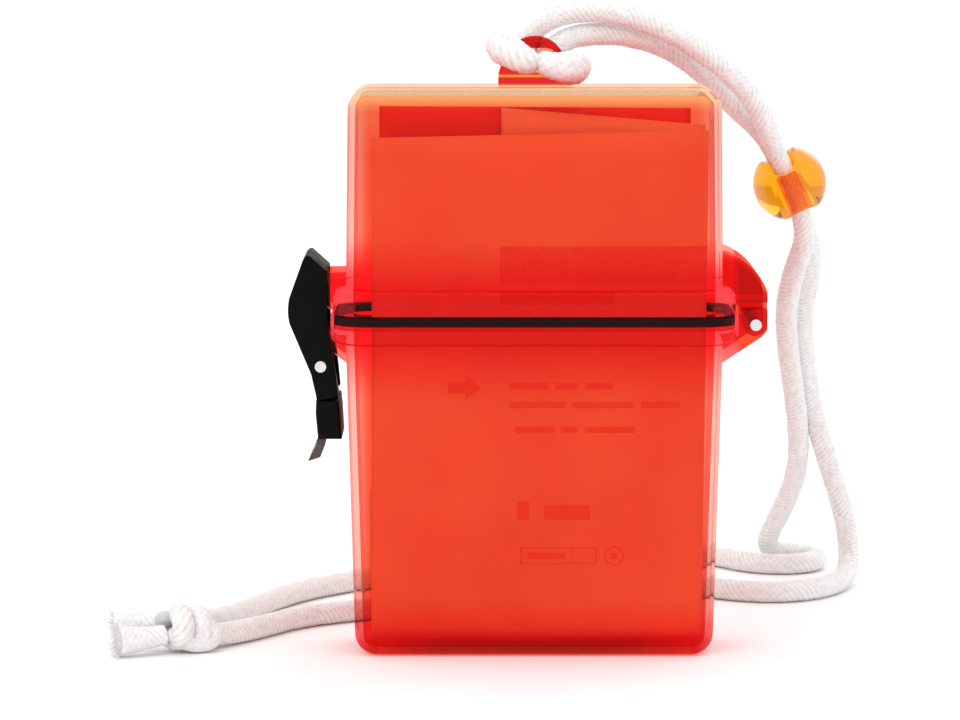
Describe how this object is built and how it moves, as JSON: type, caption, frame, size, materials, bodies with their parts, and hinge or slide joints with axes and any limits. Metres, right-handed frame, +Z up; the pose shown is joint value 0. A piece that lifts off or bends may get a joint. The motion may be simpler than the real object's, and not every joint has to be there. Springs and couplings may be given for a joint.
{
  "type": "first aid kit",
  "caption": "Clear red waterproof first aid case with hinged lid, black draw latch, rubber seal, paper packets and a white lanyard with an amber bead.",
  "frame": {"origin": "centre of the base, on the surface that the case stands on", "axes": "+Z up, +X to the right in the front view (hinge side), +Y from front to back"},
  "size_m": [0.1692, 0.1388, 0.1386],
  "materials": {
    "red_plastic": "clear red, polished",
    "black_rubber": "matt black",
    "pin_steel": "satin",
    "black_plastic": "fine grained satin",
    "smoke_plastic": "thin, dark and slightly clear",
    "amber_plastic": "clear amber, polished",
    "white_cord": "braided, slightly fuzzy",
    "packet_paper": "matt, printed with plain bars",
    "gauze": "woven, crinkled",
    "foil_sachet": "matt foil",
    "plaster_wrap": "matt"
  },
  "bodies": {
    "case": {"lower_shell": "red_plastic", "seal_ring": "black_rubber", "hinge_pin": "pin_steel", "latch_pivot_pin": "pin_steel", "compress_packet": "packet_paper", "dressing_packet": "packet_paper", "bandage_packet": "packet_paper", "plaster_strip_1": "plaster_wrap", "plaster_strip_2": "plaster_wrap", "plaster_strip_3": "plaster_wrap", "plaster_strip_4": "plaster_wrap", "wipe_sachet_1": "foil_sachet", "wipe_sachet_2": "foil_sachet", "leaflet": "packet_paper", "bandage_roll": "gauze"},
    "lid": {"lid_shell": "red_plastic", "cord_hitch": "white_cord", "cord_front": "white_cord", "cord_back": "white_cord", "cord_knot": "white_cord", "cord_tail_upper": "white_cord", "cord_tail_lower": "white_cord"},
    "bead": {"cord_bead": "amber_plastic"},
    "latch_lever": {"latch_lever": "black_plastic", "finger_tab": "smoke_plastic"},
    "latch_hook": {"latch_hook": "black_plastic", "hook_pin": "pin_steel"}
  },
  "joints": [
    {"name": "lid_hinge", "type": "hinge", "parent": "case", "child": "lid", "pos_m": [0.0467, 0, 0.0706], "axis": [0, 1, 0], "range_deg": [0, 165], "deforming": ["compress_packet", "dressing_packet", "bandage_packet"]},
    {"name": "latch_pivot", "type": "hinge", "parent": "case", "child": "latch_lever", "pos_m": [-0.046, 0, 0.0675], "axis": [0, 1, 0], "range_deg": [0, 110]},
    {"name": "hook_pivot", "type": "hinge", "parent": "latch_lever", "child": "latch_hook", "pos_m": [-0.0452, 0, 0.0617], "axis": [0, 1, 0], "range_deg": [-110, 0]},
    {"name": "bead_slide", "type": "slide", "parent": "lid", "child": "bead", "axis": [0.4012, 0.2821, -0.8715], "range_m": [-0.001, 0.001]}
  ],
  "couplings": [
    {"joint": "hook_pivot", "follows": "latch_pivot", "ratio": -1}
  ]
}
